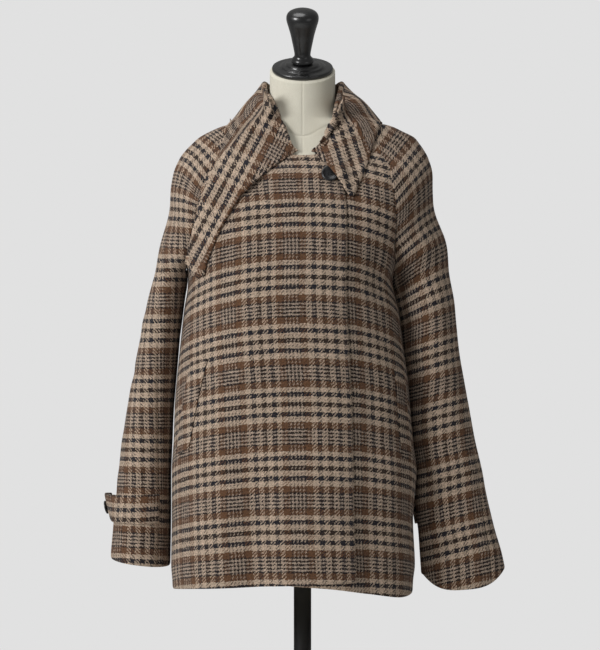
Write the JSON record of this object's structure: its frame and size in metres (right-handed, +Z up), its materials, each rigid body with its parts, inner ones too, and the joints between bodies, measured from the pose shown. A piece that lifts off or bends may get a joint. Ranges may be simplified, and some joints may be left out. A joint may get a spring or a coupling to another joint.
{
  "type": "short coat on dress form",
  "caption": "Checked wool short coat with raglan sleeves, a wide lapped fly front and a collar whose one leaf runs into a long tab, on a dress form with stand.",
  "frame": {"origin": "centre of the base plate's underside, on the post's axis at floor level", "axes": "+Z up, the coat's front faces -Y, +X towards the wearer's left"},
  "size_m": [0.6586, 0.3573, 1.6006],
  "materials": {
    "coat_cloth": "brushed wool check in beige, brown, rust and navy",
    "button_black": "satin",
    "form_cloth": "cream closely woven cover",
    "lacquered_wood": "black lacquer",
    "stand_metal": "black satin paint"
  },
  "bodies": {
    "root": {"front_right": "coat_cloth", "front_left": "coat_cloth", "back": "coat_cloth", "sleeve_right_front": "coat_cloth", "sleeve_right_back": "coat_cloth", "sleeve_left_front": "coat_cloth", "sleeve_left_back": "coat_cloth", "collar": "coat_cloth", "cuff_strap_right": "coat_cloth", "cuff_strap_left": "coat_cloth", "pocket_welt_right": "coat_cloth", "pocket_welt_left": "coat_cloth", "neck_button": "button_black", "cuff_button_right": "button_black", "cuff_button_left": "button_black", "form": "form_cloth", "neck_cap": "lacquered_wood", "knob": "lacquered_wood", "post": "stand_metal", "base_plate": "stand_metal"}
  },
  "joints": []
}
